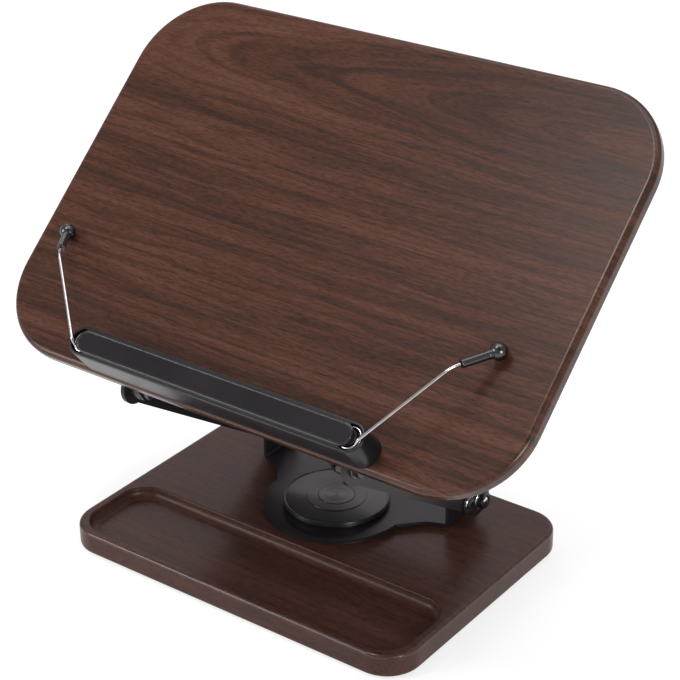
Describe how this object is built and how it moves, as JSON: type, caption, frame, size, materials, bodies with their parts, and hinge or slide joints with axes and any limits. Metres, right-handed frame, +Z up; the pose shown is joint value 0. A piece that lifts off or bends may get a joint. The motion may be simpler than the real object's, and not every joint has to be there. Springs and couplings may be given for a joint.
{
  "type": "document stand",
  "caption": "Desk book and document stand: wooden base with moulded pen tray, turntable, hinged arm, tilting wooden board, page ledge and wire page clips.",
  "frame": {"origin": "on the surface that the stand rests on, under the middle of its overall width and depth", "axes": "+X along the board to the user's right, +Y to the back, +Z up"},
  "size_m": [0.34, 0.191, 0.2754],
  "materials": {
    "walnut": "satin lacquered walnut-look wood",
    "black_sheet": "satin black powder coat",
    "black_turned": "turned, satin black anodised",
    "bright_steel": "bright zinc plate",
    "black_steel": "black oxide",
    "nylon": "natural nylon",
    "black_plastic": "satin moulded black",
    "pad_rubber": "matt",
    "chrome_wire": "polished"
  },
  "bodies": {
    "base": {"base_board": "walnut", "foot_pads": "pad_rubber", "swivel_fixed_disc": "black_steel", "swivel_disc_screws": "bright_steel", "swivel_nylon_washer": "nylon", "swivel_bolt": "bright_steel", "swivel_thrust_washer": "bright_steel", "swivel_nut": "bright_steel"},
    "turntable": {"swivel_bracket": "black_sheet", "swivel_cover": "black_turned", "swivel_cover_cap": "black_turned"},
    "arm": {"support_arm": "black_sheet", "friction_plates": "black_steel", "lock_screws": "black_steel", "lower_hinge_bolts": "bright_steel", "lower_hinge_bushes": "black_steel", "lower_hinge_washers": "bright_steel", "lower_hinge_nuts": "black_steel", "upper_hinge_bolts": "bright_steel", "upper_hinge_bushes": "black_steel", "upper_hinge_washers": "bright_steel", "upper_hinge_nuts": "black_steel"},
    "board": {"board_panel": "walnut", "board_bracket": "black_sheet", "bracket_screws": "black_steel", "page_ledge": "black_plastic", "ledge_pad": "pad_rubber", "ledge_screws": "black_steel"},
    "clip_left": {"clip_left_wire": "chrome_wire", "clip_left_sleeve": "black_plastic", "clip_left_ball": "black_plastic"},
    "clip_right": {"clip_right_wire": "chrome_wire", "clip_right_sleeve": "black_plastic", "clip_right_ball": "black_plastic"}
  },
  "joints": [
    {"name": "swivel", "type": "hinge", "parent": "base", "child": "turntable", "pos_m": [0, 0.01691, 0.0189], "axis": [0, 0, 1], "continuous": true},
    {"name": "arm_fold", "type": "hinge", "parent": "turntable", "child": "arm", "pos_m": [0, 0.05022, 0.0309], "axis": [1, 0, 0], "range_deg": [-50, 30]},
    {"name": "board_tilt", "type": "hinge", "parent": "arm", "child": "board", "pos_m": [0, -0.06574, 0.10809], "axis": [-1, 0, 0], "range_deg": [-45, 71.8]},
    {"name": "clip_left_swing", "type": "hinge", "parent": "board", "child": "clip_left", "pos_m": [-0.0885, -0.08945, 0.14135], "axis": [0, 0.6665, -0.7455], "range_deg": [-19, 98.5]},
    {"name": "clip_right_swing", "type": "hinge", "parent": "board", "child": "clip_right", "pos_m": [0.0885, -0.08945, 0.14135], "axis": [0, -0.6665, 0.7455], "range_deg": [-29.5, 88]}
  ]
}
